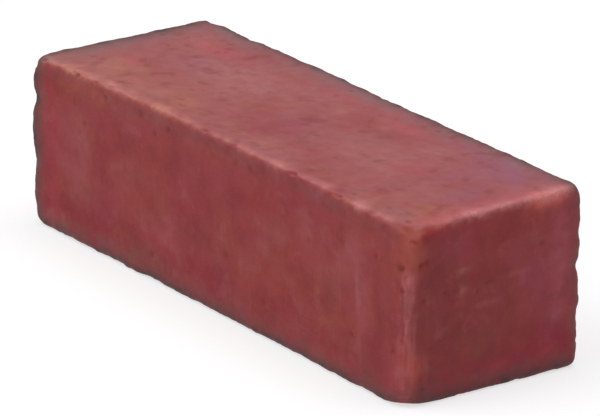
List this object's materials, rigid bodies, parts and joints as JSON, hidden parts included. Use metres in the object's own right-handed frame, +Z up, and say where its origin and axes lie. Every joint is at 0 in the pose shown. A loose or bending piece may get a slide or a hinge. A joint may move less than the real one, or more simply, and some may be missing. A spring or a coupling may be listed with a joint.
{
  "type": "polishing compound bar",
  "caption": "Solid rectangular block of wax-bound polishing compound with worn, rounded edges, rubbed onto a buffing wheel or pad to charge it.",
  "frame": {"origin": "centre of the flat base, at the bottom centre of the bounding box", "axes": "+X along the bar's length towards its more worn end, +Y across its width, +Z up, out of the top face"},
  "size_m": [0.141, 0.0506, 0.0425],
  "materials": {
    "compound": "matt"
  },
  "bodies": {
    "root": {"compound_bar": "compound"}
  },
  "joints": []
}
